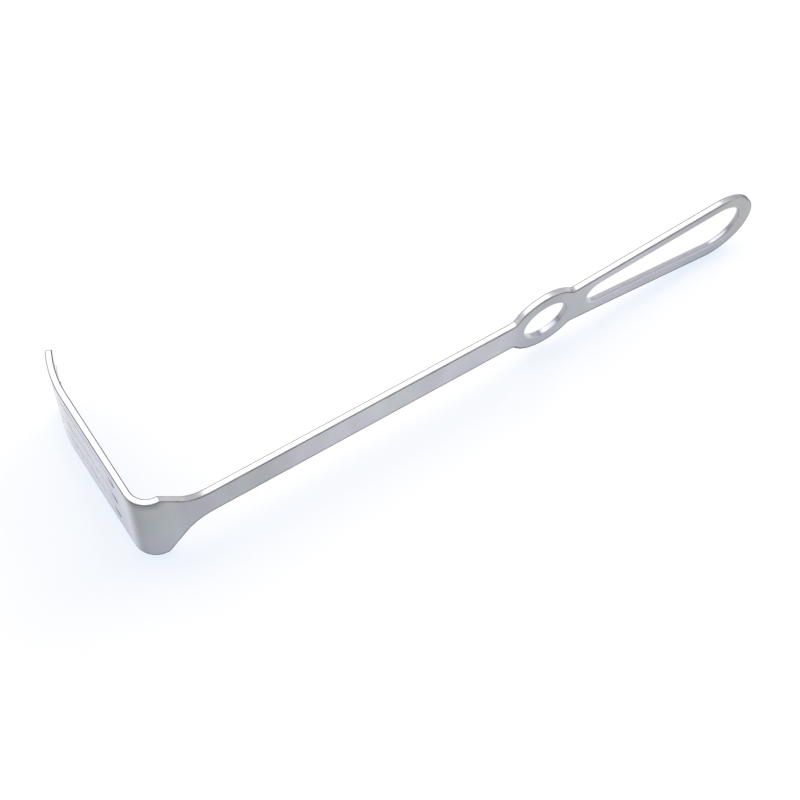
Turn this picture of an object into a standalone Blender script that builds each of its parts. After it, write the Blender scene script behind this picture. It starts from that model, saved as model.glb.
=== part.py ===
"""A hand-held rake retractor with four blunt prongs, a finger ring and a loop grip.

The real instrument is one plate of stainless steel: its outline is cut, its head is bent round
by a right angle, slots part the head into prongs, and the tips of the prongs are curved inwards.
It is modelled as the sections that this leaves, each a solid of its own.

Sizes are in metres. In the instrument's own frame +X runs along the shaft towards the grip, +Y is
the side that the prongs stand on, and +Z runs across the width. The outer face of the shaft is
the plane Y = 0 and the outer face of the blade starts from the origin. An empty carries this
frame to the pose in which the instrument lies on its long edge.
"""

import math

import bmesh
import bpy
from mathutils import Vector

# The plate, and the gap between one section and the next
PLATE_THICKNESS = 0.0024
EDGE_ROUND = 0.0005
SEAM = 0.0003

# The head, from the shoulder round the bend to the prong tips
HEAD_WIDTH = 0.039
BEND_RADIUS = 0.0085
BLADE_LEAN = math.radians(1.0)
BLADE_STRAIGHT = 0.0504
TIP_RADIUS = 0.042
TIP_TURN = math.radians(26.0)

# The slots between the prongs: the outer ones keep their distance from the head's sides
PRONG_COUNT = 4
SIDE_TO_SLOT = 0.0083
SLOT_START = 0.0161
SLOT_ROOT_WIDTH = 0.0026
SLOT_TIP_WIDTH = 0.0048
ROOT_TO_PRONG_SEAM = 0.001

# The shoulder, where the head narrows to the shaft
CORNER_RADIUS = 0.0012
SHOULDER_ANGLE = math.radians(48.0)
NECK_RADIUS = 0.014
NECK_TO_SHAFT_SEAM = 0.003

# The shaft and the finger ring
SHAFT_WIDTH = 0.014
RING_PLACE = 0.1594
RING_HOLE_RADIUS = 0.0088
RING_WALL = 0.0059
RING_FILLET_RADIUS = 0.0025
SHAFT_SEAM_TO_FILLET = 0.0015

# The loop grip: its sides run from a circle about the ring's centre to a round end, the whole
# grip is turned a little about the ring, and its opening lies a little above its middle
GRIP_LENGTH = 0.0906
GRIP_ROOT_RADIUS = 0.0086
GRIP_END_WALL = 0.0056
GRIP_TURN = math.radians(-1.0)
HOLE_TO_OPENING = 0.0091
OPENING_START_RADIUS = 0.0055
OPENING_END_RADIUS = 0.0105
OPENING_SHIFT = 0.0006

# How finely the round stretches are divided
ARC_STEP = math.radians(9.0)
FINE_ARC_STEP = math.radians(6.0)
SMALL_ARC_STEP = math.radians(18.0)
EDGE_ROUND_STEPS = 1
SHARP_ANGLE = math.radians(35.0)
WELD_DISTANCE = 0.000001

# How far a cutter reaches past what it cuts
CUTTER_MARGIN = 0.01

# Satin stainless steel
STEEL_COLOUR = (0.60, 0.61, 0.63, 1.0)
HEAD_ROUGHNESS = 0.36
SHAFT_ROUGHNESS = 0.33
GRIP_ROUGHNESS = 0.30

HALF_HEAD = HEAD_WIDTH / 2
HALF_SHAFT = SHAFT_WIDTH / 2
BEND_CENTRE = Vector((BEND_RADIUS * (1 - math.sin(BLADE_LEAN)) / math.cos(BLADE_LEAN), BEND_RADIUS))
SLOT_PITCH = (HEAD_WIDTH - 2 * SIDE_TO_SLOT) / (PRONG_COUNT - 2)
BLADE_REACH = BLADE_STRAIGHT + TIP_RADIUS * math.sin(TIP_TURN)
BLADE_DEPTH = TIP_RADIUS * (1 - math.cos(TIP_TURN)) + PLATE_THICKNESS
RING_OUTER_RADIUS = RING_HOLE_RADIUS + RING_WALL
GRIP_END_RADIUS = OPENING_END_RADIUS + GRIP_END_WALL
GRIP_END = RING_PLACE + GRIP_LENGTH
GRIP_END_PLACE = GRIP_END - GRIP_END_RADIUS
GRIP_FLARE = math.asin((GRIP_END_RADIUS - GRIP_ROOT_RADIUS) / (GRIP_END_PLACE - RING_PLACE))
OPENING_START_PLACE = RING_PLACE + RING_HOLE_RADIUS + HOLE_TO_OPENING + OPENING_START_RADIUS

UPRIGHT = math.pi / 2
HALF_TURN = math.pi


def clear_scene():
    for old in list(bpy.data.objects):
        bpy.data.objects.remove(old, do_unlink=True)


def new_collection(name):
    collection = bpy.data.collections.new(name)
    bpy.context.scene.collection.children.link(collection)
    return collection


def steel(name, roughness):
    """Satin stainless steel, the same grey with the roughness of its section."""
    material = bpy.data.materials.new(name)
    material.use_nodes = True
    shader = material.node_tree.nodes["Principled BSDF"]
    shader.inputs["Base Color"].default_value = STEEL_COLOUR
    shader.inputs["Metallic"].default_value = 1.0
    shader.inputs["Roughness"].default_value = roughness
    return material


def arc(centre, radius, start, end, step=ARC_STEP):
    """Points of a round stretch, both ends included."""
    count = max(2, math.ceil(abs(end - start) / step))
    points = []
    for k in range(count + 1):
        angle = start + (end - start) * k / count
        points.append((centre[0] + radius * math.cos(angle), centre[1] + radius * math.sin(angle)))
    return points


def turned(points):
    """Points of the grip, turned as the grip is about the finger ring's centre."""
    along, across = math.cos(GRIP_TURN), math.sin(GRIP_TURN)
    return [
        (RING_PLACE + (x - RING_PLACE) * along - z * across, (x - RING_PLACE) * across + z * along)
        for x, z in points
    ]


def plate_mesh(name, outlines, depth, edge_round):
    """A flat solid of the outlines, centred on its own plane, with its edges rounded."""
    curve = bpy.data.curves.new(name, "CURVE")
    curve.dimensions = "2D"
    curve.fill_mode = "BOTH"
    curve.extrude = depth / 2 - edge_round
    curve.bevel_depth = edge_round
    curve.bevel_resolution = EDGE_ROUND_STEPS
    curve.offset = -edge_round
    for outline in outlines:
        spline = curve.splines.new("POLY")
        spline.points.add(len(outline) - 1)
        for point, place in zip(spline.points, outline):
            point.co = (place[0], place[1], 0.0, 1.0)
        spline.use_cyclic_u = True
    maker = bpy.data.objects.new(name + "_curve", curve)
    bpy.context.scene.collection.objects.link(maker)
    graph = bpy.context.evaluated_depsgraph_get()
    mesh = bpy.data.meshes.new_from_object(maker.evaluated_get(graph))
    bpy.data.objects.remove(maker, do_unlink=True)
    weld(mesh)
    return mesh


def weld(mesh):
    """Joins the caps of a flat solid to its walls, faces outwards."""
    shape = bmesh.new()
    shape.from_mesh(mesh)
    bmesh.ops.remove_doubles(shape, verts=shape.verts, dist=WELD_DISTANCE)
    bmesh.ops.recalc_face_normals(shape, faces=shape.faces)
    shape.to_mesh(mesh)
    shape.free()


def as_cutter(cutter, cutters, frame):
    for old in list(cutter.users_collection):
        old.objects.unlink(cutter)
    cutters.objects.link(cutter)
    cutter.parent = frame
    cutter.hide_render = True
    cutter.display_type = "WIRE"
    return cutter


def box_cutter(name, low, high, cutters, frame):
    """A box between two corners of the instrument's frame."""
    bpy.ops.mesh.primitive_cube_add(size=1.0)
    box = bpy.context.object
    box.name = name
    low, high = Vector(low), Vector(high)
    for corner in box.data.vertices:
        corner.co = (low + high) / 2 + corner.co * (high - low)
    return as_cutter(box, cutters, frame)


def boolean(piece, cutter, operation):
    modifier = piece.modifiers.new(cutter.name, "BOOLEAN")
    modifier.operation = operation
    modifier.solver = "EXACT"
    modifier.object = cutter


def head_profile():
    """Side view of the bent plate, from the shoulder round the bend to the prong tips."""
    along = Vector((-math.sin(BLADE_LEAN), math.cos(BLADE_LEAN)))
    inward = Vector((math.cos(BLADE_LEAN), math.sin(BLADE_LEAN)))
    tip_centre = along * BLADE_STRAIGHT + inward * TIP_RADIUS
    bend_start, bend_end = -UPRIGHT, BLADE_LEAN - HALF_TURN
    tip_start, tip_end = HALF_TURN + BLADE_LEAN, HALF_TURN + BLADE_LEAN - TIP_TURN
    inner_bend = BEND_RADIUS - PLATE_THICKNESS
    inner_tip = TIP_RADIUS - PLATE_THICKNESS
    start = BEND_CENTRE.x + CUTTER_MARGIN / 2
    outer = [(start, 0.0)]
    outer += arc(BEND_CENTRE, BEND_RADIUS, bend_start, bend_end, FINE_ARC_STEP)
    outer += arc(tip_centre, TIP_RADIUS, tip_start, tip_end, FINE_ARC_STEP)
    inner = [(start, PLATE_THICKNESS)]
    inner += arc(BEND_CENTRE, inner_bend, bend_start, bend_end, FINE_ARC_STEP)
    inner += arc(tip_centre, inner_tip, tip_start, tip_end, FINE_ARC_STEP)
    return outer + inner[::-1]


def slot_outline(place):
    """Front view of one slot: a round root, and sides that part towards the tips."""
    root = SLOT_ROOT_WIDTH / 2
    centre = (SLOT_START + root, place)
    spread = math.atan2(SLOT_TIP_WIDTH / 2 - root, BLADE_REACH - centre[0])
    points = arc(centre, root, UPRIGHT + spread, UPRIGHT + HALF_TURN - spread, SMALL_ARC_STEP)
    far = BLADE_REACH + CUTTER_MARGIN
    half = root + (far - centre[0]) * math.tan(spread)
    return points + [(far, place - half), (far, place + half)]


def neck_start():
    """Where the shoulder's slope, drawn on straight, would meet the shaft's side."""
    corner = BEND_CENTRE.x + CORNER_RADIUS * math.tan(SHOULDER_ANGLE / 2)
    return corner + (HALF_HEAD - HALF_SHAFT) / math.tan(SHOULDER_ANGLE)


def neck_end():
    return neck_start() + NECK_RADIUS * math.tan(SHOULDER_ANGLE / 2)


def fillet_angle(side):
    """Where the fillet between the ring and a side line that far from its centre leaves the ring."""
    return math.asin((side + RING_FILLET_RADIUS) / (RING_OUTER_RADIUS + RING_FILLET_RADIUS))


def handle_side(sign):
    """One long side of the flat plate: shoulder, shaft, finger ring and grip, to the grip's end."""
    reach = RING_OUTER_RADIUS + RING_FILLET_RADIUS
    from_shaft = fillet_angle(HALF_SHAFT)
    to_grip = GRIP_FLARE + fillet_angle(GRIP_ROOT_RADIUS)
    corner_centre = (BEND_CENTRE.x, HALF_HEAD - CORNER_RADIUS)
    neck_centre = (neck_end(), HALF_SHAFT + NECK_RADIUS)
    shaft_fillet = (RING_PLACE - reach * math.cos(from_shaft), reach * math.sin(from_shaft))
    grip_fillet = (RING_PLACE + reach * math.cos(to_grip), reach * math.sin(to_grip))
    ring_start, ring_end = sign * (HALF_TURN - from_shaft), sign * to_grip + GRIP_TURN
    shaft = [(BEND_CENTRE.x - CUTTER_MARGIN / 2, HALF_HEAD)]
    shaft += arc(corner_centre, CORNER_RADIUS, UPRIGHT, UPRIGHT - SHOULDER_ANGLE, SMALL_ARC_STEP)
    shaft += arc(neck_centre, NECK_RADIUS, -UPRIGHT - SHOULDER_ANGLE, -UPRIGHT)
    shaft += arc(shaft_fillet, RING_FILLET_RADIUS, -UPRIGHT, -from_shaft, SMALL_ARC_STEP)
    ring = arc((RING_PLACE, 0.0), RING_OUTER_RADIUS, ring_start, ring_end, FINE_ARC_STEP)
    grip = arc(grip_fillet, RING_FILLET_RADIUS, to_grip - HALF_TURN, GRIP_FLARE - UPRIGHT, SMALL_ARC_STEP)
    grip += arc((GRIP_END_PLACE, 0.0), GRIP_END_RADIUS, UPRIGHT + GRIP_FLARE, 0.0, FINE_ARC_STEP)
    shaft = [(x, sign * z) for x, z in shaft]
    grip = [(x, sign * z) for x, z in grip]
    return shaft + ring[1:-1] + turned(grip)


def handle_outline():
    """Front view of the flat plate, out along its upper side and back along its lower one."""
    return handle_side(1) + handle_side(-1)[-2::-1]


def finger_hole_outline():
    return arc((RING_PLACE, 0.0), RING_HOLE_RADIUS, 0.0, 2 * HALF_TURN, FINE_ARC_STEP)[:-1]


def opening_outline():
    """The hole inside the grip: a small round start, straight sides and a large round end."""
    spacing = GRIP_END_PLACE - OPENING_START_PLACE
    touch = math.acos((OPENING_START_RADIUS - OPENING_END_RADIUS) / spacing)
    start_centre = (OPENING_START_PLACE, OPENING_SHIFT)
    end_centre = (GRIP_END_PLACE, OPENING_SHIFT)
    start = arc(start_centre, OPENING_START_RADIUS, touch, 2 * HALF_TURN - touch, SMALL_ARC_STEP)
    return turned(start + arc(end_centre, OPENING_END_RADIUS, -touch, touch))


def slot_places():
    middle = (PRONG_COUNT - 2) / 2
    return [(middle - k) * SLOT_PITCH for k in range(PRONG_COUNT - 1)]


def make_head_blank(cutters, frame):
    """The bent plate with its slots cut, as one mesh that its sections share."""
    blank = bpy.data.objects.new(
        "head_blank",
        plate_mesh("head_blank", [head_profile()], HEAD_WIDTH, EDGE_ROUND),
    )
    bpy.context.scene.collection.objects.link(blank)
    cutter_depth = 2 * (BLADE_DEPTH + CUTTER_MARGIN)
    for k, place in enumerate(slot_places()):
        name = f"slot_{k + 1}"
        mesh = plate_mesh(name, [slot_outline(place)], cutter_depth, 0.0)
        cutter = as_cutter(bpy.data.objects.new(name, mesh), cutters, frame)
        cutter.rotation_euler = (UPRIGHT, 0.0, UPRIGHT)
        boolean(blank, cutter, "DIFFERENCE")
    graph = bpy.context.evaluated_depsgraph_get()
    mesh = bpy.data.meshes.new_from_object(blank.evaluated_get(graph))
    bpy.data.objects.remove(blank, do_unlink=True)
    return mesh


def make_handle_blank():
    outlines = [handle_outline(), finger_hole_outline(), opening_outline()]
    return plate_mesh("handle_blank", outlines, PLATE_THICKNESS, EDGE_ROUND)


def section(name, blank, low, high, roughness, collection, cutters, frame):
    """One section of the instrument: the part of a blank between two corners of a box."""
    piece = bpy.data.objects.new(name, blank.copy())
    piece.data.materials.append(steel(name + "_steel", roughness))
    piece.data.shade_smooth()
    piece.data.set_sharp_from_angle(angle=SHARP_ANGLE)
    collection.objects.link(piece)
    piece.parent = frame
    boolean(piece, box_cutter(name + "_bounds", low, high, cutters, frame), "INTERSECT")
    return piece


def make_head(collection, cutters, frame):
    """The bend, the solid part of the blade and the prongs."""
    blank = make_head_blank(cutters, frame)
    wide = HALF_HEAD + CUTTER_MARGIN
    far = BLADE_REACH + CUTTER_MARGIN
    behind = -CUTTER_MARGIN
    bend_x, bend_y = BEND_CENTRE
    prong_y = SLOT_START + SLOT_ROOT_WIDTH / 2 + ROOT_TO_PRONG_SEAM
    bounds = {
        "head_bend": ((behind, behind, -wide), (bend_x - SEAM / 2, bend_y - SEAM / 2, wide)),
        "blade_plate": ((behind, bend_y + SEAM / 2, -wide), (far, prong_y - SEAM / 2, wide)),
    }
    sides = [wide] + slot_places() + [-wide]
    for k in range(PRONG_COUNT):
        bounds[f"prong_{k + 1}"] = ((behind, prong_y + SEAM / 2, sides[k + 1]), (far, far, sides[k]))
    return [
        section(name, blank, low, high, HEAD_ROUGHNESS, collection, cutters, frame)
        for name, (low, high) in bounds.items()
    ]


def make_handle(collection, cutters, frame):
    """The shoulder, the shaft, the finger ring and the loop grip."""
    blank = make_handle_blank()
    wide = HALF_HEAD + CUTTER_MARGIN
    shaft_x = neck_end() + NECK_TO_SHAFT_SEAM
    fillet_place = (RING_OUTER_RADIUS + RING_FILLET_RADIUS) * math.cos(fillet_angle(HALF_SHAFT))
    ring_x = RING_PLACE - fillet_place - SHAFT_SEAM_TO_FILLET
    grip_x = RING_PLACE + RING_HOLE_RADIUS + HOLE_TO_OPENING / 2
    stretches = [
        ("shoulder", BEND_CENTRE.x, shaft_x, SHAFT_ROUGHNESS),
        ("shaft", shaft_x, ring_x, SHAFT_ROUGHNESS),
        ("finger_ring", ring_x, grip_x, GRIP_ROUGHNESS),
        ("grip_loop", grip_x, GRIP_END + CUTTER_MARGIN, GRIP_ROUGHNESS),
    ]
    pieces = []
    for name, start, end, roughness in stretches:
        low = (start + SEAM / 2, -CUTTER_MARGIN, -wide)
        high = (end - SEAM / 2, CUTTER_MARGIN, wide)
        piece = section(name, blank, low, high, roughness, collection, cutters, frame)
        piece.location = (0.0, PLATE_THICKNESS / 2, 0.0)
        piece.rotation_euler = (UPRIGHT, 0.0, 0.0)
        pieces.append(piece)
    return pieces


def lay_on_edge(frame):
    """Turns the frame until the line under the head's lower corner and the grip's end is level."""
    corner = Vector((BEND_CENTRE.x, CORNER_RADIUS - HALF_HEAD))
    grip_end = Vector(turned([(GRIP_END_PLACE, 0.0)])[0])
    between = grip_end - corner
    narrowing = math.asin((GRIP_END_RADIUS - CORNER_RADIUS) / between.length)
    frame.rotation_euler = (0.0, math.atan2(between.y, between.x) - narrowing, 0.0)


def centre_on_origin(frame, pieces):
    """Moves the frame so that the middle of the whole instrument's foot is the origin."""
    bpy.context.view_layer.update()
    graph = bpy.context.evaluated_depsgraph_get()
    places = []
    for piece in pieces:
        shape = piece.evaluated_get(graph)
        places += [shape.matrix_world @ vertex.co for vertex in shape.data.vertices]
    low = Vector([min(place[axis] for place in places) for axis in range(3)])
    high = Vector([max(place[axis] for place in places) for axis in range(3)])
    frame.location = (-(low.x + high.x) / 2, -(low.y + high.y) / 2, -low.z)


def build():
    clear_scene()
    collection = new_collection("rake_retractor")
    cutters = new_collection("cutters")
    frame = bpy.data.objects.new("instrument_frame", None)
    collection.objects.link(frame)
    pieces = make_head(collection, cutters, frame) + make_handle(collection, cutters, frame)
    lay_on_edge(frame)
    centre_on_origin(frame, pieces)


build()
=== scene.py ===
"""The rake retractor as the photograph shows it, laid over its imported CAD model.

The real instrument is one plate of steel, so it is made here as one flat pattern. The pattern's
edges are rounded, it is cut into the ten sections that the CAD model has, and each section is bent
into place. The sections meet without a gap and carry exact normals, so no seam shows.

In the flat pattern u runs along the plate towards the grip, v across its width and w through its
thickness, from the outer face to the inner one. Its outlines are lists of stations. A station is a
place on the outline, the direction that the side faces there, and how far the edge is rounded.
All sizes are in metres.
"""

import math

import bmesh
import bpy
from mathutils import Matrix, Vector
from mathutils.geometry import tessellate_polygon


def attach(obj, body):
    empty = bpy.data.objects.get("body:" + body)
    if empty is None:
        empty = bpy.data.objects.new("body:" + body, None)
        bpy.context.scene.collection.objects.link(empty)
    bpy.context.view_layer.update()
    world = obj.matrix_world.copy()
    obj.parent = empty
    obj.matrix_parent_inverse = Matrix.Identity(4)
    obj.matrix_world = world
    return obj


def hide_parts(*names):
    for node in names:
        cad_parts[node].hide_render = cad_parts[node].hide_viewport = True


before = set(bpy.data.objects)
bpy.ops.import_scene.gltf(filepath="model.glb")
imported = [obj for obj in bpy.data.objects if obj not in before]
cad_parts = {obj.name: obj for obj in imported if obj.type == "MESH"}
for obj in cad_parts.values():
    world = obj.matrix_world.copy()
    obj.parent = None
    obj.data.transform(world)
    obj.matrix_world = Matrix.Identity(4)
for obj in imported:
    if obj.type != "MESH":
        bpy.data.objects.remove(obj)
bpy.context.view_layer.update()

# Where the instrument's own frame lies in the CAD model
FRAME_PLACE = Vector((-0.1244521, -0.0344376, 0.0195755))
FRAME_TILT = math.radians(0.53326)

# The plate and the head, as in the CAD model
PLATE_THICKNESS = 0.0024
HEAD_WIDTH = 0.039
BEND_RADIUS = 0.0085
BLADE_LEAN = math.radians(1.0)
BLADE_STRAIGHT = 0.0504
TIP_RADIUS = 0.042
TIP_TURN = math.radians(26.0)
PRONG_COUNT = 4
SIDE_TO_SLOT = 0.0083
SLOT_START = 0.0161
SLOT_ROOT_WIDTH = 0.0026
SLOT_TIP_WIDTH = 0.0048
ROOT_TO_PRONG_SEAM = 0.001

# The shoulder, the shaft, the ring and the grip, as in the CAD model
CORNER_RADIUS = 0.0012
SHOULDER_ANGLE = math.radians(48.0)
NECK_RADIUS = 0.014
NECK_TO_SHAFT_SEAM = 0.003
SHAFT_WIDTH = 0.014
RING_PLACE = 0.1594
RING_HOLE_RADIUS = 0.0088
RING_WALL = 0.0059
RING_FILLET_RADIUS = 0.0025
SHAFT_SEAM_TO_FILLET = 0.0015
GRIP_LENGTH = 0.0906
GRIP_ROOT_RADIUS = 0.0086
GRIP_END_WALL = 0.0056
GRIP_TURN = math.radians(-1.0)
HOLE_TO_OPENING = 0.0091
OPENING_START_RADIUS = 0.0055
OPENING_END_RADIUS = 0.0105
OPENING_SHIFT = 0.0006

# How far each edge is rounded
SIDE_ROUND = 0.0005
RING_HOLE_ROUND = 0.00045
OPENING_ROUND = 0.0009
SLOT_ROUND = 0.00025
TIP_CORNER_RADIUS = 0.0009

# The dark lines of painted shade on the outer outline's roundings towards the outer and the inner
# face: where they are darkest, as an angle from the edge's wall towards the face, and how far
# they reach
OUTER_LINE_ANGLE = math.radians(70.0)
INNER_LINE_ANGLE = math.radians(42.0)
EDGE_LINE_REACH = math.radians(45.0)

# How much painted shade the edges have elsewhere, where 1 is as dark as such a line
HOLLOW_LINE_SHARE = 0.62
LEFT_WALL_SHARE = 0.75
HEAD_SHARE = 0.17
SHOULDER_SHARE = 0.33
GRIP_END_SHARE = 0.65
GRIP_END_DARKEST = 0.4
GRIP_END_LINE_FADE = 1.4

# The band of painted shade on the finger hole's wall: how dark it is, how far right the wall faces
# there, and the band's reach on both sides of that
HOLE_BAND_SHARE = 0.7
HOLE_BAND_PLACE = 0.12
HOLE_BAND_REACH = 0.16

# The painted shade along a slot, which fades out from its root
SLOT_LINE_SHARE = 0.6
SLOT_LINE_LENGTH = 0.006

# The rim of painted shade on a face along the plate's lower side: its width, on the prongs too, and
# the shade that it has where the edge faces down by that share or more
RIM_WIDTH = 0.0006
PRONG_RIM_WIDTH = 0.0003
RIM_SHADE = 0.12
RIM_FULL = 0.6

# The band of painted shade under the upper edge at the bend: its shade, depth and middle, and how
# far from the middle it starts and ends to fade
BEND_EDGE_SHADE = 0.5
BEND_EDGE_DEPTH = 0.005
BEND_EDGE_MIDDLE = 0.003
BEND_EDGE_FADE = (0.004, 0.01)

# Painted light and shade of the satin face along the plate, for what each stretch reflects: places
# u, and the shade there
FACE_SHADES = (
    (-0.066, 2.06),
    (-0.052, 1.88),
    (-0.044, 1.60),
    (-0.012, 1.50),
    (-0.0045, 1.62),
    (-0.0005, 0.75),
    (0.003, 0.94),
    (0.006, 1.00),
    (0.012, 1.07),
    (0.0165, 0.95),
    (0.021, 1.00),
    (0.027, 1.08),
    (0.045, 1.02),
    (0.070, 1.36),
    (0.110, 1.28),
    (0.140, 1.32),
    (0.152, 1.10),
    (0.160, 1.03),
    (0.180, 1.22),
    (0.205, 1.14),
    (0.230, 1.00),
    (0.260, 1.00),
)
BRIGHTEST_SHADE = 2.0

# The satin face's noises: how many waves a metre they have each way
FACE_STREAKS = (90.0, 3600.0, 1.0)
FACE_BANDS = (95.0, 30.0, 1.0)
FACE_CLOUDS = (55.0, 55.0, 55.0)
FACE_SPECKLE = (1700.0, 1700.0, 1700.0)

# The satin face's two tints, which the clouds part between these values, and what the other noises
# do to its brightness and roughness
FACE_TINTS = ((0.43, 0.42, 0.47, 1.0), (0.412, 0.436, 0.452, 1.0))
TINT_CLOUDS = (0.38, 0.62)
STREAK_SHADES = (0.93, 1.05)
BAND_SHADES = (0.94, 1.06)
SPECKLE_SHADES = (0.97, 1.03)
FACE_ROUGHNESS = (0.32, 0.42)
SPECKLE_ROUGHNESS = (-0.02, 0.02)
FACE_BUMPS = 0.25

# The edges' noises, and what they do to their brightness and roughness
EDGE_STREAKS = (220.0, 5200.0, 1.0)
# A noise that breaks up the edges' painted dark line at random
LINE_BREAKUP_NOISE = (260.0, 260.0, 260.0)
EDGE_SHADES = (0.92, 1.05)
EDGE_ROUGHNESS = (0.26, 0.36)
EDGE_BUMPS = 0.2

# How dark an edge is marked where its painted dark line starts to show and where it is full, and
# how much of that painted shade a noise leaves, which breaks the line up at random
LINE_RANGE = (0.1, 0.7)
LINE_BREAKUP = (0.7, 1.0)

# The edges' colours: on the wall and in the dark line of painted shade. The walls of the holes and
# the slots are painted darker than the outer edge's, for the shade inside them
POLISHED = ((0.815, 0.815, 0.835, 1.0), (0.06, 0.06, 0.07, 1.0))
HOLLOW = ((0.68, 0.69, 0.73, 1.0), (0.38, 0.38, 0.42, 1.0))
SLOTTED = ((0.75, 0.76, 0.79, 1.0), (0.10, 0.10, 0.12, 1.0))

# How much an outer edge shines where it is seen at a flat angle, against a plain one
GRAZING_TINT = (0.2, 0.2, 0.22, 1.0)
WHITE = (1.0, 1.0, 1.0, 1.0)

# Where most of a noise's values lie, how finely each kind is detailed, the sharpness of the fine
# ones, and the depth of the bumps
NOISE_START = 0.3
NOISE_END = 0.7
STREAK_DETAIL = 4.0
SPECKLE_DETAIL = 3.0
BROAD_DETAIL = 1.0
FINE_ROUGHNESS = 0.6
BUMP_DISTANCE = 0.00002

# How finely the round stretches are divided
ROUND_STEPS = 4
WIDE_STEP = math.radians(3.0)
NARROW_STEP = math.radians(7.5)
BEND_STEP = math.radians(3.0)
TIP_STEP = math.radians(1.5)

# How far a vertex may lie from a cut and count as on it, and how much u an edge on a cut may span
CUT_REACH = 1e-7
CUT_SPAN = 1e-6

# The floor and the room
FLOOR_COLOUR = (0.95, 0.95, 0.95, 1.0)
FLOOR_GLOW = (0.585, 0.71, 0.888, 1.0)
FLOOR_SHADE = (0.40, 0.28, 0.11, 1.0)
FLOOR_ROUGHNESS = 0.9
FLOOR_REACH = 4.0
FLOOR_DROP = 0.00005
ROOM_COLOUR = (0.61, 0.61, 0.65, 1.0)

# The light panels: places, widths and heights, and brightness. A fill lights, but the steel
# doesn't mirror it.
UPPER_PLACE = (-0.225, 0.56, 1.1)
UPPER_SIZE = (1.85, 1.4)
UPPER_BRIGHTNESS = 1.0
UPPER_FILL = 0.2
RIGHT_PLACE = (1.0, 0.25, 0.8)
RIGHT_SIZE = (0.9, 0.9)
RIGHT_FILL = 3.1

# The camera that the photograph was fitted with; the sensor and the lens in millimetres
CAMERA_PLACE = (-0.190334, -0.278623, 0.567212)
CAMERA_TURN = (math.radians(28.2336), math.radians(-0.9757), math.radians(-32.2606))
SENSOR_WIDTH = 36.0
LENS = 82.448
CLIP_START = 0.01

UPRIGHT = math.pi / 2
HALF_TURN = math.pi
HALF_HEAD = HEAD_WIDTH / 2
HALF_SHAFT = SHAFT_WIDTH / 2
BEND_PLACE = BEND_RADIUS * (1 - math.sin(BLADE_LEAN)) / math.cos(BLADE_LEAN)
BEND_CENTRE = Vector((BEND_PLACE, BEND_RADIUS))
BEND_TURN = UPRIGHT - BLADE_LEAN
SLOT_PITCH = (HEAD_WIDTH - 2 * SIDE_TO_SLOT) / (PRONG_COUNT - 2)
BLADE_REACH = BLADE_STRAIGHT + TIP_RADIUS * math.sin(TIP_TURN)
RING_OUTER_RADIUS = RING_HOLE_RADIUS + RING_WALL
GRIP_END_RADIUS = OPENING_END_RADIUS + GRIP_END_WALL
GRIP_END_PLACE = RING_PLACE + GRIP_LENGTH - GRIP_END_RADIUS
GRIP_FLARE = math.asin((GRIP_END_RADIUS - GRIP_ROOT_RADIUS) / (GRIP_END_PLACE - RING_PLACE))
OPENING_START_PLACE = RING_PLACE + RING_HOLE_RADIUS + HOLE_TO_OPENING + OPENING_START_RADIUS
SLOT_ROOT_RADIUS = SLOT_ROOT_WIDTH / 2
SLOT_CENTRE = SLOT_START + SLOT_ROOT_RADIUS
SLOT_SPREAD = math.atan2(SLOT_TIP_WIDTH / 2 - SLOT_ROOT_RADIUS, BLADE_REACH - SLOT_CENTRE)

# Where the bend, the straight blade and the curved tips lie in the flat pattern
BEND_END_U = BEND_PLACE - BEND_RADIUS * BEND_TURN
TIP_START_U = BEND_END_U - (BLADE_STRAIGHT - BEND_PLACE)
TIP_END_U = TIP_START_U - TIP_RADIUS * TIP_TURN
ALONG_BLADE = Vector((-math.sin(BLADE_LEAN), math.cos(BLADE_LEAN)))
INTO_BLADE = Vector((math.cos(BLADE_LEAN), math.sin(BLADE_LEAN)))
TIP_CENTRE = ALONG_BLADE * BLADE_STRAIGHT + INTO_BLADE * TIP_RADIUS

TO_WORLD = Matrix.Translation(FRAME_PLACE) @ Matrix.Rotation(FRAME_TILT, 4, "Y")

# The materials' places in each piece's list
FACE, OUTER_EDGE, HOLLOW_EDGE, SLOT_EDGE = range(4)


def ray(angle):
    """Direction of an angle, with a length of one."""
    return Vector((math.cos(angle), math.sin(angle)))


def plate_at(u):
    """Outer surface of the bent plate at u: a point, and the angle that its outward side faces."""
    if u >= BEND_PLACE:
        return Vector((u, 0.0)), -UPRIGHT
    if u >= BEND_END_U:
        angle = -UPRIGHT - (BEND_PLACE - u) / BEND_RADIUS
        return BEND_CENTRE + BEND_RADIUS * ray(angle), angle
    straight_angle = BLADE_LEAN - HALF_TURN
    if u >= TIP_START_U:
        return ALONG_BLADE * (BEND_PLACE + BEND_END_U - u), straight_angle
    angle = straight_angle - (TIP_START_U - u) / TIP_RADIUS
    return TIP_CENTRE + TIP_RADIUS * ray(angle), angle


def placed(flat):
    """World place of a point of the flat pattern."""
    surface, angle = plate_at(flat.x)
    point = surface - ray(angle) * flat.z
    return TO_WORLD @ Vector((point.x, point.y, flat.y))


def turned_normal(flat, normal):
    """World direction of a normal of the flat pattern at that point."""
    angle = plate_at(flat.x)[1]
    forward = Vector((-math.sin(angle), math.cos(angle)))
    flat_part = forward * normal.x - ray(angle) * normal.z
    return TO_WORLD.to_3x3() @ Vector((flat_part.x, flat_part.y, normal.y)).normalized()


def blade_u(height):
    """The u of the straight blade at that height above the shaft's outer face."""
    return BEND_END_U - (height / math.cos(BLADE_LEAN) - BEND_PLACE)


def slot_root_u():
    """The u of the middle of the slots' round roots."""
    return blade_u(SLOT_CENTRE)


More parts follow.
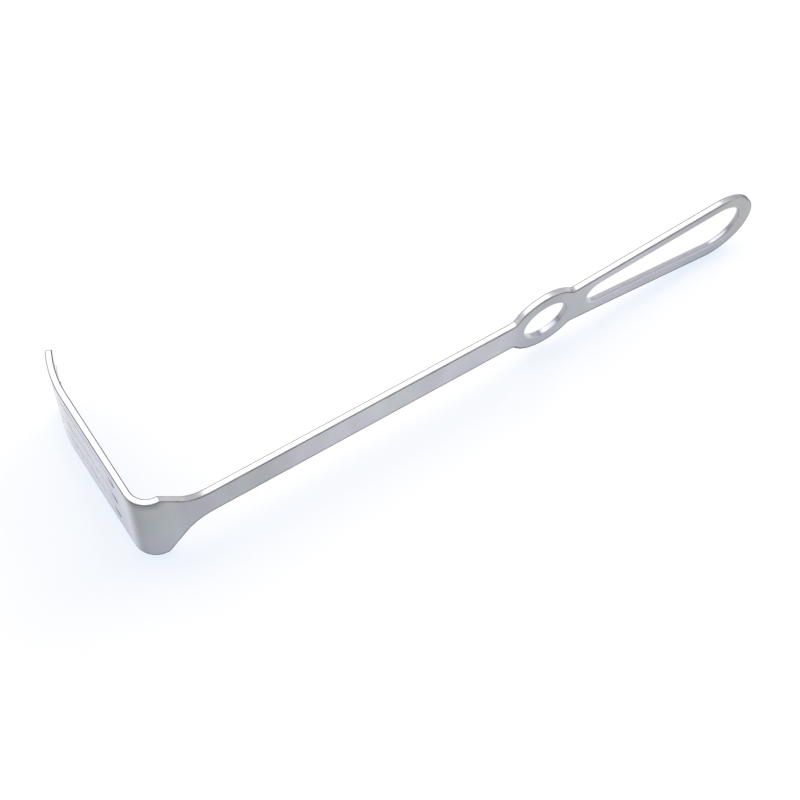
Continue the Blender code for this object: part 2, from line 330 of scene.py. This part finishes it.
def neck_end():
    """The u where the shoulder has narrowed to the shaft's width."""
    corner = BEND_PLACE + CORNER_RADIUS * math.tan(SHOULDER_ANGLE / 2)
    slope = (HALF_HEAD - HALF_SHAFT) / math.tan(SHOULDER_ANGLE)
    return corner + slope + NECK_RADIUS * math.tan(SHOULDER_ANGLE / 2)


def fillet_angle(side):
    """The angle, seen from the ring's centre, of the fillet to a straight side that far out."""
    return math.asin((side + RING_FILLET_RADIUS) / (RING_OUTER_RADIUS + RING_FILLET_RADIUS))


def tip_lines():
    """The u of each line across the curved tips, from the straight blade to the ends."""
    count = math.ceil(TIP_TURN / TIP_STEP)
    return [TIP_START_U + (TIP_END_U - TIP_START_U) * k / count for k in range(count + 1)]


def round_stretch(centre, radius, start, end, step, edge_round, hollow=False):
    """Stations of an arc between two angles; a hollow one faces its own centre."""
    count = max(2, math.ceil(abs(end - start) / step))
    facing = -1.0 if hollow else 1.0
    stations = []
    for k in range(count + 1):
        outward = ray(start + (end - start) * k / count)
        stations.append((Vector(centre) + radius * outward, facing * outward, edge_round))
    return stations


def turned_with_grip(stations):
    """Stations of the grip, turned as the grip is about the ring's centre."""
    turn = Matrix.Rotation(GRIP_TURN, 2)
    pivot = Vector((RING_PLACE, 0.0))
    return [(pivot + turn @ (place - pivot), turn @ side, edge) for place, side, edge in stations]


def mirrored(stations, sign):
    """The same stations on the upper (sign 1) or the lower side (sign -1) of the plate."""
    flip = Vector((1.0, sign))
    return [(place * flip, side * flip, edge) for place, side, edge in stations]


def shaft_side():
    """The upper side from the shoulder's corner to the ring."""
    reach = RING_OUTER_RADIUS + RING_FILLET_RADIUS
    from_shaft = fillet_angle(HALF_SHAFT)
    corner = (BEND_PLACE, HALF_HEAD - CORNER_RADIUS)
    neck = (neck_end(), HALF_SHAFT + NECK_RADIUS)
    fillet = (RING_PLACE - reach * math.cos(from_shaft), reach * math.sin(from_shaft))
    slope_start, slope_end = UPRIGHT - SHOULDER_ANGLE, -UPRIGHT - SHOULDER_ANGLE
    stations = round_stretch(
        corner, CORNER_RADIUS, UPRIGHT, slope_start, NARROW_STEP, SIDE_ROUND
    )
    stations += round_stretch(
        neck, NECK_RADIUS, slope_end, -UPRIGHT, WIDE_STEP, SIDE_ROUND, True
    )
    stations += round_stretch(
        fillet, RING_FILLET_RADIUS, -UPRIGHT, -from_shaft, NARROW_STEP, SIDE_ROUND, True
    )
    return stations


def grip_side():
    """The upper side from the ring to the grip's end, before the grip's turn."""
    reach = RING_OUTER_RADIUS + RING_FILLET_RADIUS
    to_grip = GRIP_FLARE + fillet_angle(GRIP_ROOT_RADIUS)
    fillet = (RING_PLACE + reach * math.cos(to_grip), reach * math.sin(to_grip))
    end = (GRIP_END_PLACE, 0.0)
    fillet_start, fillet_end = to_grip - HALF_TURN, GRIP_FLARE - UPRIGHT
    stations = round_stretch(
        fillet, RING_FILLET_RADIUS, fillet_start, fillet_end, NARROW_STEP, SIDE_ROUND, True
    )
    stations += round_stretch(
        end, GRIP_END_RADIUS, UPRIGHT + GRIP_FLARE, 0.0, WIDE_STEP, SIDE_ROUND
    )
    return stations


def handle_side(sign):
    """The upper (sign 1) or the lower side (sign -1) from the shoulder's corner to the end."""
    ring_start = sign * (HALF_TURN - fillet_angle(HALF_SHAFT))
    ring_end = sign * (GRIP_FLARE + fillet_angle(GRIP_ROOT_RADIUS)) + GRIP_TURN
    ring = round_stretch(
        (RING_PLACE, 0.0), RING_OUTER_RADIUS, ring_start, ring_end, WIDE_STEP, SIDE_ROUND
    )
    grip = turned_with_grip(mirrored(grip_side(), sign))
    return mirrored(shaft_side(), sign) + ring[1:-1] + grip


def slot_half_width(u):
    """Half of a slot's width at u, which grows evenly with the height above the shaft's face."""
    height = plate_at(u)[0].y
    return SLOT_ROOT_RADIUS / math.cos(SLOT_SPREAD) + (height - SLOT_CENTRE) * math.tan(SLOT_SPREAD)


def slot_wall(place, sign):
    """Stations of a slot's upper (sign 1) or lower wall (sign -1), from its line's end outwards."""
    stations = []
    for u in [slot_root_u() - SLOT_LINE_LENGTH] + tip_lines():
        if u < TIP_END_U + TIP_CORNER_RADIUS:
            break
        side = Vector((-math.sin(SLOT_SPREAD), -sign * math.cos(SLOT_SPREAD)))
        stations.append((Vector((u, place + sign * slot_half_width(u))), side, SLOT_ROUND))
    return stations


def tip_corner(place, sign, wall_angle, wall_round):
    """Stations of a tip's corner, from its end to the wall above (sign 1) or below (sign -1) it."""
    centre = (TIP_END_U + TIP_CORNER_RADIUS, place - sign * TIP_CORNER_RADIUS)
    start, end = sign * HALF_TURN, sign * (UPRIGHT + wall_angle)
    stations = round_stretch(centre, TIP_CORNER_RADIUS, start, end, NARROW_STEP, SIDE_ROUND)
    last = len(stations) - 1
    return [
        (point, side, SIDE_ROUND + (wall_round - SIDE_ROUND) * k / last)
        for k, (point, side, _) in enumerate(stations)
    ]


def slot_places():
    """The slots' middles, from the lowest to the highest."""
    middle = (PRONG_COUNT - 2) / 2
    return [(k - middle) * SLOT_PITCH for k in range(PRONG_COUNT - 1)]


def tips_and_slots():
    """The end of the blade from its lower side to its upper one, in and out of each slot."""
    half_tip = slot_half_width(TIP_END_U + TIP_CORNER_RADIUS)
    root_turn = UPRIGHT - SLOT_SPREAD
    outline = tip_corner(-HALF_HEAD, -1, 0.0, SIDE_ROUND)[::-1]
    for place in slot_places():
        root = (slot_root_u(), place)
        outline += tip_corner(place - half_tip, 1, SLOT_SPREAD, SLOT_ROUND)
        outline += slot_wall(place, -1)[::-1]
        outline += round_stretch(
            root, SLOT_ROOT_RADIUS, -root_turn, root_turn, NARROW_STEP, SLOT_ROUND, True
        )
        outline += slot_wall(place, 1)
        outline += tip_corner(place + half_tip, -1, SLOT_SPREAD, SLOT_ROUND)[::-1]
    return outline + tip_corner(HALF_HEAD, 1, 0.0, SIDE_ROUND)


def outer_outline():
    """The plate's outer outline, once around."""
    return handle_side(1) + handle_side(-1)[-2::-1] + tips_and_slots()


def finger_hole_outline():
    """The finger hole's outline, once around."""
    centre = (RING_PLACE, 0.0)
    return round_stretch(
        centre, RING_HOLE_RADIUS, 0.0, 2 * HALF_TURN, WIDE_STEP, RING_HOLE_ROUND, True
    )[:-1]


def opening_outline():
    """The outline of the grip's opening, once around."""
    spacing = GRIP_END_PLACE - OPENING_START_PLACE
    touch = math.acos((OPENING_START_RADIUS - OPENING_END_RADIUS) / spacing)
    back = 2 * HALF_TURN - touch
    start_centre = (OPENING_START_PLACE, OPENING_SHIFT)
    end_centre = (GRIP_END_PLACE, OPENING_SHIFT)
    stations = round_stretch(
        start_centre, OPENING_START_RADIUS, touch, back, NARROW_STEP, OPENING_ROUND, True
    )
    stations += round_stretch(
        end_centre, OPENING_END_RADIUS, -touch, touch, WIDE_STEP, OPENING_ROUND, True
    )
    return turned_with_grip(stations)


def edge_profile(edge_round, rim_width):
    """Steps across an edge: inset, depth, and the normal's shares sideways and inwards."""
    outer = [(edge_round + rim_width, 0.0, 0.0, -1.0)]
    for k in range(ROUND_STEPS + 1):
        angle = UPRIGHT * k / ROUND_STEPS
        inset, depth = edge_round * (1 - math.sin(angle)), edge_round * (1 - math.cos(angle))
        outer.append((inset, depth, math.sin(angle), -math.cos(angle)))
    inner = [
        (inset, PLATE_THICKNESS - depth, sideways, -inwards)
        for inset, depth, sideways, inwards in outer[::-1]
    ]
    return outer + inner


def line_share(inwards, hollow):
    """How much painted shade a rounding has where its normal has that share towards the plate's
    inner face.
    """
    darkest = UPRIGHT if hollow else INNER_LINE_ANGLE if inwards > 0 else OUTER_LINE_ANGLE
    angle = math.asin(min(1.0, abs(inwards)))
    share = max(0.0, 1.0 - abs(angle - darkest) / EDGE_LINE_REACH)
    return HOLLOW_LINE_SHARE * share if hollow else share


def wall_share(place, side, hollow):
    """How much painted shade a wall has: in a hole where it faces left, at the head and at the
    grip's far end.
    """
    if hollow:
        in_ring = place.x < RING_PLACE + RING_OUTER_RADIUS
        band = 1.0 - abs(side.x - HOLE_BAND_PLACE) / HOLE_BAND_REACH
        return max(LEFT_WALL_SHARE * -side.x, HOLE_BAND_SHARE * band if in_ring else 0.0, 0.0)
    if place.x < neck_end():
        return max(HEAD_SHARE, SHOULDER_SHARE * side.x)
    if place.x > GRIP_END_PLACE:
        return min(GRIP_END_DARKEST, GRIP_END_SHARE * max(0.0, side.x))
    return 0.0


def edge_share(station, inwards, hollow):
    """How much painted shade the edge has at a station, where its normal has that share inwards."""
    place, side, edge_round = station
    if edge_round <= SLOT_ROUND:
        past_root = slot_root_u() - place.x
        return SLOT_LINE_SHARE * max(0.0, 1.0 - past_root / SLOT_LINE_LENGTH)
    line = line_share(inwards, hollow)
    if place.x > GRIP_END_PLACE and not hollow:
        line *= max(0.0, 1.0 - GRIP_END_LINE_FADE * max(0.0, side.x))
    return max(line, wall_share(place, side, hollow))


def edge_column(shape, layers, station, run, hollow):
    """One station's vertices, across the edge from the outer face to the inner one."""
    place, side, edge_round = station
    on_blade = place.x < BEND_END_U
    has_rim = not hollow and (not on_blade or place.y < PRONG_RIM_WIDTH - HALF_HEAD)
    rim_width = PRONG_RIM_WIDTH if on_blade else RIM_WIDTH
    column = []
    for inset, depth, sideways, inwards in edge_profile(edge_round, rim_width):
        point = place - side * inset
        vert = shape.verts.new((point.x, point.y, depth))
        vert[layers["flat_normal"]] = (side.x * sideways, side.y * sideways, inwards)
        vert[layers["run"]] = run
        vert[layers["line"]] = edge_share(station, inwards, hollow)
        # Painted shade on the face's rim where the edge faces down
        if has_rim and inset <= edge_round:
            vert[layers["rim"]] = max(0.0, -side.y)
        column.append(vert)
    return column


def join_columns(shape, columns, rounds, hollow):
    """The faces of one outline's edge, from each station's column to the next one's."""
    neighbours = zip(columns, columns[1:] + columns[:1], rounds, rounds[1:] + rounds[:1])
    for here, there, here_round, there_round in neighbours:
        in_slot = max(here_round, there_round) <= SLOT_ROUND
        edge = HOLLOW_EDGE if hollow else SLOT_EDGE if in_slot else OUTER_EDGE
        last = len(here) - 2
        for k in range(last + 1):
            strip = shape.faces.new((here[k], there[k], there[k + 1], here[k + 1]))
            strip.material_index = FACE if k in (0, last) else edge


def flat_plate():
    """The whole flat pattern as one closed solid.

    Its vertices carry their normal, their run along the outline, how much painted shade the edge
    has there, and how much painted shade the face's rim has. Its faces carry whether they lie
    inside the rims of the two faces.
    """
    shape = bmesh.new()
    layers = {"flat_normal": shape.verts.layers.float_vector.new("flat_normal")}
    for name in ("run", "line", "rim"):
        layers[name] = shape.verts.layers.float.new(name)
    flats = shape.faces.layers.int.new("flat")
    outlines = ((outer_outline(), False), (finger_hole_outline(), True), (opening_outline(), True))
    outer_loops, inner_loops = [], []
    for outline, hollow in outlines:
        columns, run, before = [], 0.0, outline[0][0]
        for station in outline:
            run += (station[0] - before).length
            before = station[0]
            columns.append(edge_column(shape, layers, station, run, hollow))
        join_columns(shape, columns, [edge_round for _, _, edge_round in outline], hollow)
        outer_loops.append([column[0] for column in columns])
        inner_loops.append([column[-1] for column in columns])
    for loops in (outer_loops, inner_loops):
        verts = [vert for loop in loops for vert in loop]
        for triangle in tessellate_polygon([[vert.co for vert in loop] for loop in loops]):
            shape.faces.new([verts[k] for k in triangle])[flats] = 1
    bmesh.ops.recalc_face_normals(shape, faces=shape.faces)
    return shape


def seams():
    """The u of each border between sections, from the tips to the grip."""
    fillet_reach = (RING_OUTER_RADIUS + RING_FILLET_RADIUS) * math.cos(fillet_angle(HALF_SHAFT))
    return [
        blade_u(SLOT_CENTRE + ROOT_TO_PRONG_SEAM),
        BEND_END_U,
        BEND_PLACE,
        neck_end() + NECK_TO_SHAFT_SEAM,
        RING_PLACE - fillet_reach - SHAFT_SEAM_TO_FILLET,
        RING_PLACE + RING_HOLE_RADIUS + HOLE_TO_OPENING / 2,
    ]


def cut_lines():
    """Each u where the flat pattern is cut across, for the bends and for the borders."""
    count = math.ceil(BEND_TURN / BEND_STEP)
    bend = [BEND_PLACE + (BEND_END_U - BEND_PLACE) * k / count for k in range(1, count)]
    return bend + tip_lines()[:-1] + seams()


def join_slivers(plate):
    """Makes one face of each flat strip across the bend and the curved tips."""
    flats = plate.faces.layers.int["flat"]
    between = []
    for edge in plate.edges:
        first, last = (vert.co.x for vert in edge.verts)
        middle = (first + last) / 2
        curved = BEND_END_U < middle < BEND_PLACE or middle < TIP_START_U
        crosses = abs(first - last) > CUT_SPAN
        if curved and crosses and all(face[flats] for face in edge.link_faces):
            between.append(edge)
    bmesh.ops.dissolve_edges(plate, edges=between, use_verts=True)


def section_of(face):
    """Name of the CAD node whose stretch of the plate this face belongs to."""
    middle = face.calc_center_median()
    borders = seams()
    names = ["blade_plate", "head_bend", "shoulder", "shaft", "finger_ring", "grip_loop"]
    if middle.x < borders[0]:
        above = sum(1 for place in slot_places() if place > middle.y)
        return f"prong_{above + 1}"
    return names[sum(1 for border in borders[1:] if middle.x > border)]


def flat_section(name, plate):
    """One section of the flat pattern, and the caps that close it where its neighbours meet it."""
    shape = plate.copy()
    others = [face for face in shape.faces if section_of(face) != name]
    bmesh.ops.delete(shape, geom=others, context="FACES")
    shape.loops.layers.uv.new("grain")
    open_edges = [edge for edge in shape.edges if edge.is_boundary]
    caps = set(bmesh.ops.holes_fill(shape, edges=open_edges, sides=0)["faces"])
    bmesh.ops.reverse_faces(shape, faces=shape.faces)
    shape.normal_update()
    return shape, caps


def finish_corners(shape, caps):
    """Sets each corner's grain coordinates, and gives all corners' normals in world directions.

    On a face the grain runs along u, and on an edge along the outline.
    """
    normals = shape.verts.layers.float_vector["flat_normal"]
    runs = shape.verts.layers.float["run"]
    grain = shape.loops.layers.uv["grain"]
    longest = max(vert[runs] for vert in shape.verts)
    corner_normals = []
    for face in shape.faces:
        face.smooth = face not in caps
        first = face.loops[0].vert[runs]
        for loop in face.loops:
            flat = loop.vert.co
            normal = -face.normal if face in caps else Vector(loop.vert[normals])
            corner_normals.append(turned_normal(flat, normal))
            if face.material_index == FACE:
                loop[grain].uv = (flat.x, flat.y)
                continue
            run = loop.vert[runs]
            closes_outline = abs(run - first) > longest / 2
            loop[grain].uv = (first if closes_outline else run, flat.z)
    return corner_normals


def make_section(name, plate, materials):
    """One section of the bent plate, in place of its CAD node."""
    shape, caps = flat_section(name, plate)
    corner_normals = finish_corners(shape, caps)
    for vert in shape.verts:
        vert.co = placed(vert.co)
    mesh = bpy.data.meshes.new(name + "_steel")
    shape.to_mesh(mesh)
    shape.free()
    for material in materials:
        mesh.materials.append(material)
    mesh.normals_split_custom_set(corner_normals)
    piece = bpy.data.objects.new(name + "_steel", mesh)
    bpy.context.scene.collection.objects.link(piece)
    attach(piece, "root")
    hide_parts(name)


class Nodes:
    """Short hand for building one material's nodes."""

    def __init__(self, material):
        material.use_nodes = True
        self.tree = material.node_tree
        self.shader = self.tree.nodes["Principled BSDF"]

    def add(self, kind, **settings):
        node = self.tree.nodes.new(kind)
        for key, setting in settings.items():
            setattr(node, key, setting)
        return node

    def feed(self, socket, source):
        """Gives a socket a plain number or colour, or links another socket to it."""
        if isinstance(source, (float, tuple)):
            socket.default_value = source
        else:
            self.tree.links.new(source, socket)

    def shade(self, **sources):
        """Feeds the shader's inputs, whose names are given with _ for a space."""
        for name, source in sources.items():
            self.feed(self.shader.inputs[name.replace("_", " ")], source)

    def grain(self):
        """Coordinates along and across the brushing."""
        return self.add("ShaderNodeUVMap", uv_map="grain").outputs["UV"]

    def place(self):
        """Coordinates in the piece."""
        return self.add("ShaderNodeTexCoord").outputs["Object"]

    def attribute(self, name):
        return self.add("ShaderNodeAttribute", attribute_name=name).outputs["Fac"]

    def noise(self, source, scale, detail, roughness=0.5):
        """Noise over a vector that is stretched by scale, as its factor output."""
        mapping = self.add("ShaderNodeMapping")
        self.feed(mapping.inputs["Scale"], scale)
        self.feed(mapping.inputs["Vector"], source)
        noise = self.add("ShaderNodeTexNoise")
        self.feed(noise.inputs["Scale"], 1.0)
        self.feed(noise.inputs["Detail"], detail)
        self.feed(noise.inputs["Roughness"], roughness)
        self.feed(noise.inputs["Vector"], mapping.outputs["Vector"])
        return noise.outputs["Fac"]

    def spread(self, source, low, high, start=NOISE_START, end=NOISE_END):
        """A factor carried from the range start to end onto low to high."""
        ranger = self.add("ShaderNodeMapRange")
        self.feed(ranger.inputs["Value"], source)
        self.feed(ranger.inputs["From Min"], start)
        self.feed(ranger.inputs["From Max"], end)
        self.feed(ranger.inputs["To Min"], low)
        self.feed(ranger.inputs["To Max"], high)
        return ranger.outputs["Result"]

    def ramp(self, source, stops):
        """A value that follows pairs of place and brightness along the source."""
        start, end = stops[0][0], stops[-1][0]
        ramp = self.add("ShaderNodeValToRGB")
        self.feed(ramp.inputs["Fac"], self.spread(source, 0.0, 1.0, start, end))
        elements = ramp.color_ramp.elements
        for place, _ in stops[1:-1]:
            elements.new((place - start) / (end - start))
        for element, (_, brightness) in zip(elements, stops):
            grey = brightness / BRIGHTEST_SHADE
            element.color = (grey, grey, grey, 1.0)
        return self.math("MULTIPLY", ramp.outputs["Color"], BRIGHTEST_SHADE)

    def math(self, operation, *sources):
        node = self.add("ShaderNodeMath", operation=operation)
        for socket, source in zip(node.inputs, sources):
            self.feed(socket, source)
        return node.outputs["Value"]

    def product(self, first, *others):
        """All the sources multiplied."""
        for other in others:
            first = self.math("MULTIPLY", first, other)
        return first

    def mix(self, factor, first, second):
        """Colours mixed by a factor. A mix node's colour sockets come after its other kinds."""
        node = self.add("ShaderNodeMix", data_type="RGBA")
        self.feed(node.inputs[0], factor)
        self.feed(node.inputs[6], first)
        self.feed(node.inputs[7], second)
        return node.outputs[2]

    def scaled(self, colour, factor):
        """A colour made brighter or darker by a factor."""
        node = self.add("ShaderNodeVectorMath", operation="SCALE")
        self.feed(node.inputs[0], colour)
        self.feed(node.inputs["Scale"], factor)
        return node.outputs[0]

    def bumps(self, height, strength):
        """The normal of a surface with fine bumps of that height."""
        bump = self.add("ShaderNodeBump")
        self.feed(bump.inputs["Strength"], strength)
        self.feed(bump.inputs["Distance"], BUMP_DISTANCE)
        self.feed(bump.inputs["Height"], height)
        return bump.outputs["Normal"]


def face_shade(nodes, flat):
    """Painted light and shade of the face at a place of the flat pattern, apart from its fine
    grain.
    """
    split = nodes.add("ShaderNodeSeparateXYZ")
    nodes.feed(split.inputs["Vector"], flat)
    along, across = split.outputs["X"], split.outputs["Y"]
    under_edge = nodes.spread(across, 0.0, 1.0, HALF_HEAD - BEND_EDGE_DEPTH, HALF_HEAD)
    from_bend = nodes.math("ABSOLUTE", nodes.math("SUBTRACT", along, BEND_EDGE_MIDDLE))
    by_bend = nodes.spread(from_bend, 1.0, 0.0, *BEND_EDGE_FADE)
    under_bend_edge = nodes.product(under_edge, by_bend)
    return nodes.product(
        nodes.ramp(along, FACE_SHADES),
        nodes.spread(under_bend_edge, 1.0, BEND_EDGE_SHADE, 0.0, 1.0),
        nodes.spread(nodes.attribute("rim"), 1.0, RIM_SHADE, 0.0, RIM_FULL),
    )


def steel_face():
    """Satin face of the plate: fine brushing along it, faint cloudy tints, a fine speckle, and
    painted light and shade.
    """
    material = bpy.data.materials.new("satin_steel")
    nodes = Nodes(material)
    flat, place = nodes.grain(), nodes.place()
    streaks = nodes.noise(flat, FACE_STREAKS, STREAK_DETAIL, FINE_ROUGHNESS)
    speckle = nodes.noise(place, FACE_SPECKLE, SPECKLE_DETAIL, FINE_ROUGHNESS)
    bands = nodes.noise(flat, FACE_BANDS, BROAD_DETAIL)
    clouds = nodes.noise(place, FACE_CLOUDS, BROAD_DETAIL)
    tint = nodes.mix(nodes.spread(clouds, 0.0, 1.0, *TINT_CLOUDS), *FACE_TINTS)
    fine_shade = nodes.product(
        nodes.spread(streaks, *STREAK_SHADES),
        nodes.spread(speckle, *SPECKLE_SHADES),
        nodes.spread(bands, *BAND_SHADES),
    )
    nodes.shade(
        Base_Color=nodes.scaled(tint, nodes.product(fine_shade, face_shade(nodes, flat))),
        Metallic=1.0,
        Roughness=nodes.math(
            "ADD",
            nodes.spread(streaks, *FACE_ROUGHNESS),
            nodes.spread(speckle, *SPECKLE_ROUGHNESS),
        ),
        Normal=nodes.bumps(nodes.math("ADD", streaks, speckle), FACE_BUMPS),
    )
    return material


def steel_edge(name, light, dark, grazing=WHITE):
    """Ground edge of the plate, light on its wall, with a painted dark line of shade where it
    rounds into the faces.
    """
    material = bpy.data.materials.new(name)
    nodes = Nodes(material)
    streaks = nodes.noise(nodes.grain(), EDGE_STREAKS, STREAK_DETAIL, FINE_ROUGHNESS)
    line_breakup = nodes.noise(nodes.place(), LINE_BREAKUP_NOISE, SPECKLE_DETAIL, FINE_ROUGHNESS)
    # The painted dark line of shade, broken up at random by a noise
    line = nodes.product(
        nodes.spread(nodes.attribute("line"), 0.0, 1.0, *LINE_RANGE),
        nodes.spread(line_breakup, *LINE_BREAKUP),
    )
    colour = nodes.mix(line, light, dark)
    nodes.shade(
        Base_Color=nodes.scaled(colour, nodes.spread(streaks, *EDGE_SHADES)),
        Metallic=1.0,
        Specular_Tint=grazing,
        Roughness=nodes.spread(streaks, *EDGE_ROUGHNESS),
        Normal=nodes.bumps(streaks, EDGE_BUMPS),
    )
    return material


def make_instrument():
    """The whole instrument, section by section, out of one flat pattern."""
    plate = flat_plate()
    for u in cut_lines():
        geometry = list(plate.verts) + list(plate.edges) + list(plate.faces)
        bmesh.ops.bisect_plane(
            plate, geom=geometry, dist=CUT_REACH, plane_co=(u, 0, 0), plane_no=(1, 0, 0)
        )
    join_slivers(plate)
    materials = [
        steel_face(),
        steel_edge("polished_edge", *POLISHED, GRAZING_TINT),
        steel_edge("inner_edge", *HOLLOW),
        steel_edge("slotted_edge", *SLOTTED),
    ]
    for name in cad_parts:
        make_section(name, plate, materials)
    plate.free()


def make_floor():
    """A plain white floor that keeps the instrument's pale shadow."""
    material = bpy.data.materials.new("white_floor")
    nodes = Nodes(material)
    path = nodes.add("ShaderNodeLightPath")
    seen = nodes.math("MAXIMUM", path.outputs["Is Camera Ray"], path.outputs["Is Glossy Ray"])
    seen = nodes.math("MAXIMUM", seen, path.outputs["Is Transmission Ray"])
    nodes.shade(
        Base_Color=nodes.mix(seen, FLOOR_COLOUR, FLOOR_SHADE),
        Emission_Color=FLOOR_GLOW,
        Emission_Strength=seen,
        Roughness=FLOOR_ROUGHNESS,
        Specular_IOR_Level=0.0,
    )
    mesh = bpy.data.meshes.new("floor")
    corners = [(-1, -1), (1, -1), (1, 1), (-1, 1)]
    verts = [(FLOOR_REACH * x, FLOOR_REACH * y, 0.0) for x, y in corners]
    mesh.from_pydata(verts, [], [(0, 1, 2, 3)])
    mesh.materials.append(material)
    floor = bpy.data.objects.new("floor", mesh)
    floor.location = (0.0, 0.0, -FLOOR_DROP)
    bpy.context.scene.collection.objects.link(floor)


def make_world():
    """An evenly lit, slightly lavender room."""
    world = bpy.data.worlds.new("studio")
    bpy.context.scene.world = world
    world.use_nodes = True
    background = world.node_tree.nodes["Background"]
    background.inputs["Color"].default_value = ROOM_COLOUR
    background.inputs["Strength"].default_value = 1.0


def make_panel(name, place, size, brightness, mirrored_in_steel):
    """A soft light panel that faces the instrument and looks as bright as a white of that value."""
    width, height = size
    data = bpy.data.lights.new(name, "AREA")
    data.shape = "RECTANGLE"
    data.size = width
    data.size_y = height
    data.energy = brightness * math.pi * width * height
    panel = bpy.data.objects.new(name, data)
    panel.visible_glossy = mirrored_in_steel
    panel.location = place
    panel.rotation_euler = (-Vector(place)).to_track_quat("-Z", "Y").to_euler()
    bpy.context.scene.collection.objects.link(panel)


def make_camera():
    data = bpy.data.cameras.new("camera")
    data.sensor_width = SENSOR_WIDTH
    data.lens = LENS
    data.clip_start = CLIP_START
    camera = bpy.data.objects.new("camera", data)
    camera.location = CAMERA_PLACE
    camera.rotation_euler = CAMERA_TURN
    bpy.context.scene.collection.objects.link(camera)
    bpy.context.scene.camera = camera


make_instrument()
make_floor()
make_world()
make_panel("upper_panel", UPPER_PLACE, UPPER_SIZE, UPPER_BRIGHTNESS, True)
make_panel("upper_fill", UPPER_PLACE, UPPER_SIZE, UPPER_FILL, False)
make_panel("right_fill", RIGHT_PLACE, RIGHT_SIZE, RIGHT_FILL, False)
make_camera()
bpy.context.scene.view_settings.view_transform = "Standard"
